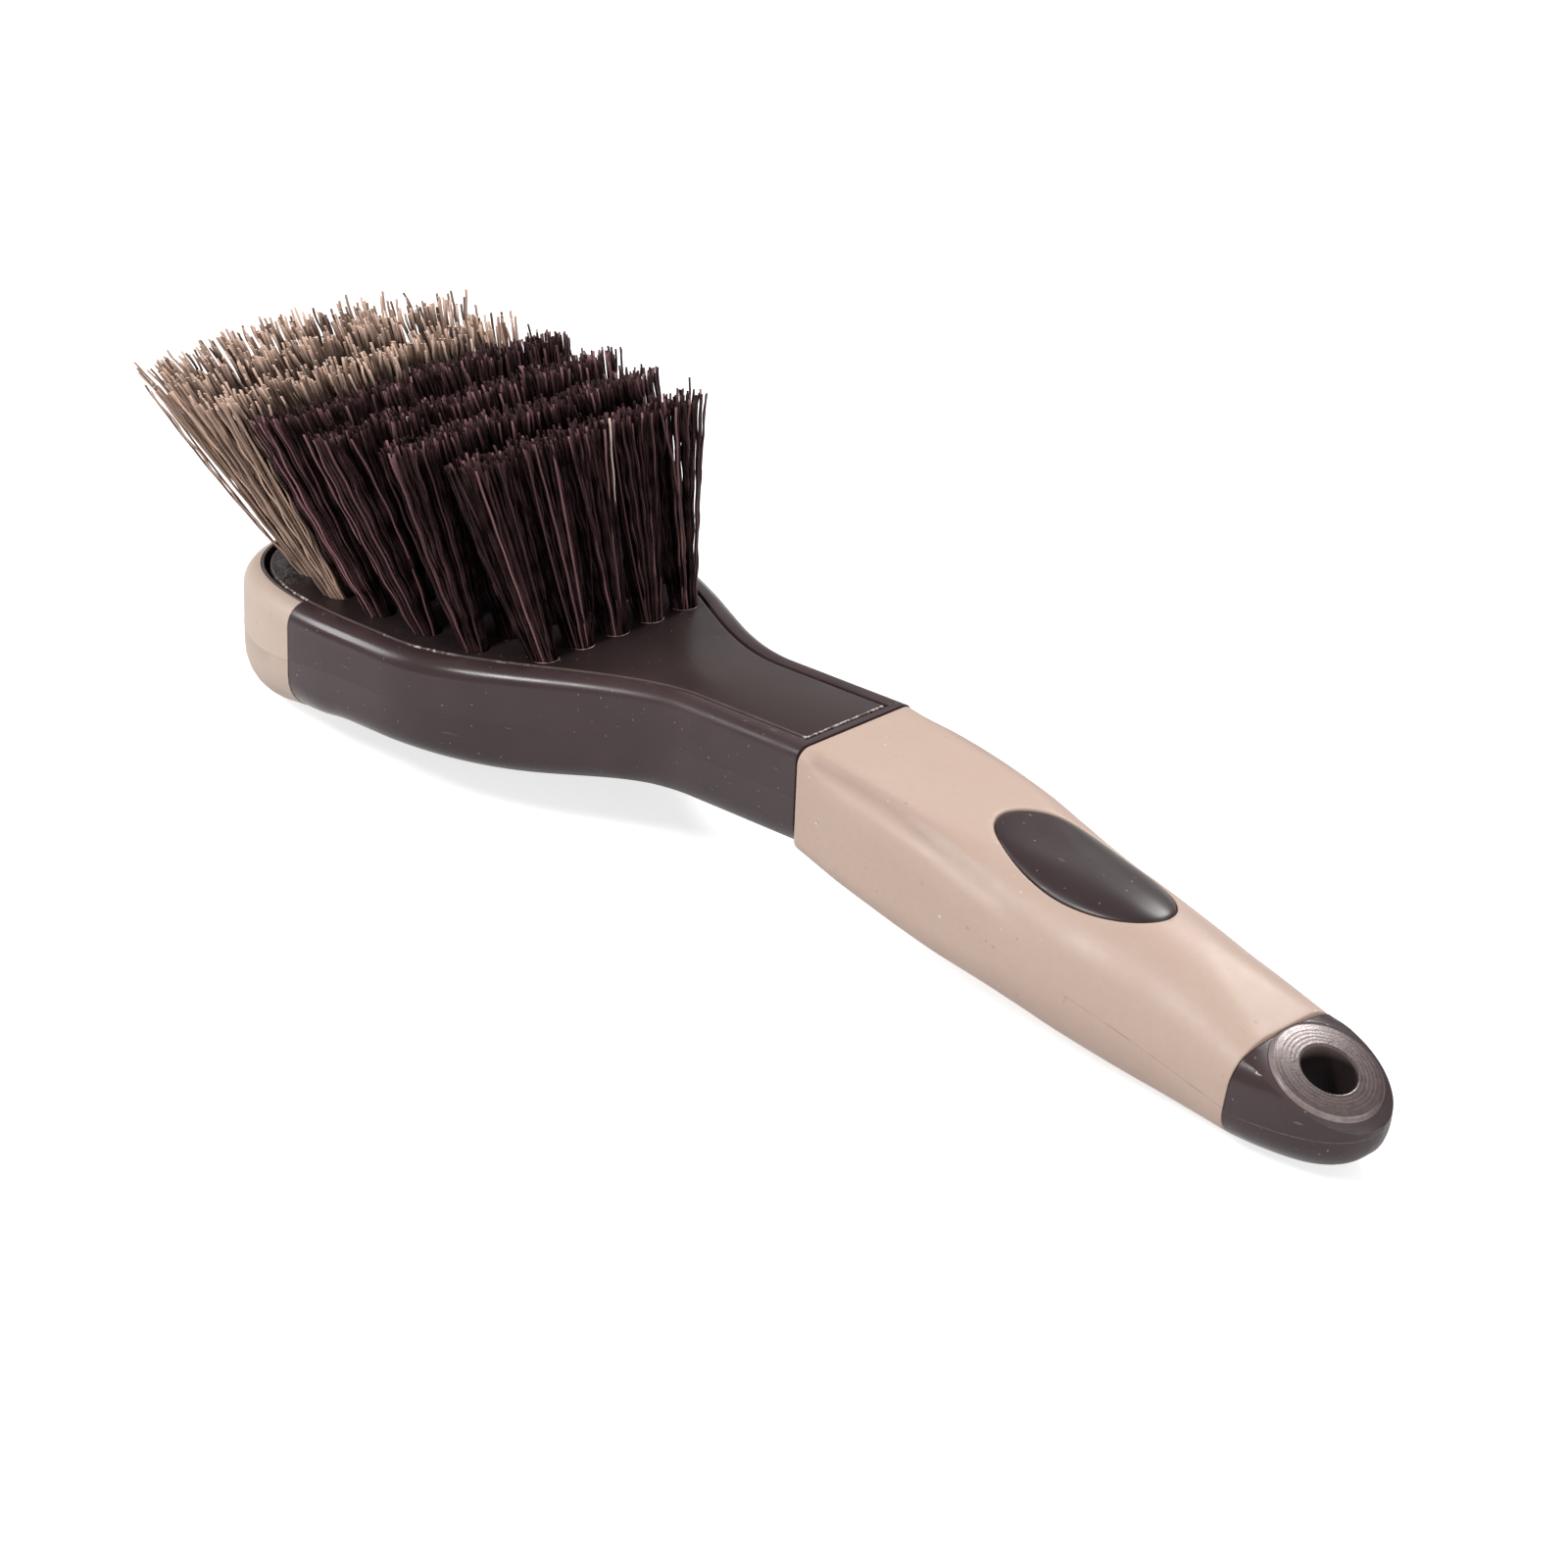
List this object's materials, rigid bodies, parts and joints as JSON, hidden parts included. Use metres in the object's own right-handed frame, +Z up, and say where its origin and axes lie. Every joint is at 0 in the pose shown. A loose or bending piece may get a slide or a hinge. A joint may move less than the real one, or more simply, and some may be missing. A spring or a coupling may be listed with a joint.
{
  "type": "bucket brush",
  "caption": "Two-tone moulded hand brush with a flared field of crimped bristles, a rubber nose bumper, a swollen rubber grip with thumb pad and a hang hole in its tail.",
  "frame": {"origin": "centre of the overall bounding box, on the ground the brush lies on", "axes": "+X from the nose to the tail, +Z up out of the bristle side, +Y to the brush's left seen from the tail"},
  "size_m": [0.2944, 0.0718, 0.0712],
  "materials": {
    "brown_plastic": "satin moulded",
    "plate_plastic": "satin moulded, scuffed",
    "beige_rubber": "soft matte overmould",
    "dark_bristle": "crimped filament",
    "beige_bristle": "crimped filament"
  },
  "bodies": {
    "root": {"handle_body": "brown_plastic", "tuft_plate": "plate_plastic", "nose_bumper": "beige_rubber", "grip_sleeve": "beige_rubber", "tuft_a1": "dark_bristle", "tuft_a2": "dark_bristle", "tuft_a3": "dark_bristle", "tuft_a4": "dark_bristle", "tuft_a5": "dark_bristle", "tuft_b1": "dark_bristle", "tuft_b2": "dark_bristle", "tuft_b3": "dark_bristle", "tuft_b4": "dark_bristle", "tuft_b5": "dark_bristle", "tuft_b6": "dark_bristle", "tuft_c1": "dark_bristle", "tuft_c2": "dark_bristle", "tuft_c3": "dark_bristle", "tuft_c4": "dark_bristle", "tuft_c5": "dark_bristle", "tuft_c6": "dark_bristle", "tuft_d1": "dark_bristle", "tuft_d2": "dark_bristle", "tuft_d3": "dark_bristle", "tuft_d4": "dark_bristle", "tuft_d5": "dark_bristle", "tuft_d6": "dark_bristle", "tuft_e1": "beige_bristle", "tuft_e2": "beige_bristle", "tuft_e3": "beige_bristle", "tuft_e4": "beige_bristle", "tuft_e5": "beige_bristle", "tuft_e6": "beige_bristle", "tuft_f1": "beige_bristle", "tuft_f2": "beige_bristle", "tuft_f3": "beige_bristle", "tuft_f4": "beige_bristle", "tuft_f5": "beige_bristle", "tuft_g1": "beige_bristle", "tuft_g2": "beige_bristle", "tuft_g3": "beige_bristle", "tuft_g4": "beige_bristle"}
  },
  "joints": []
}
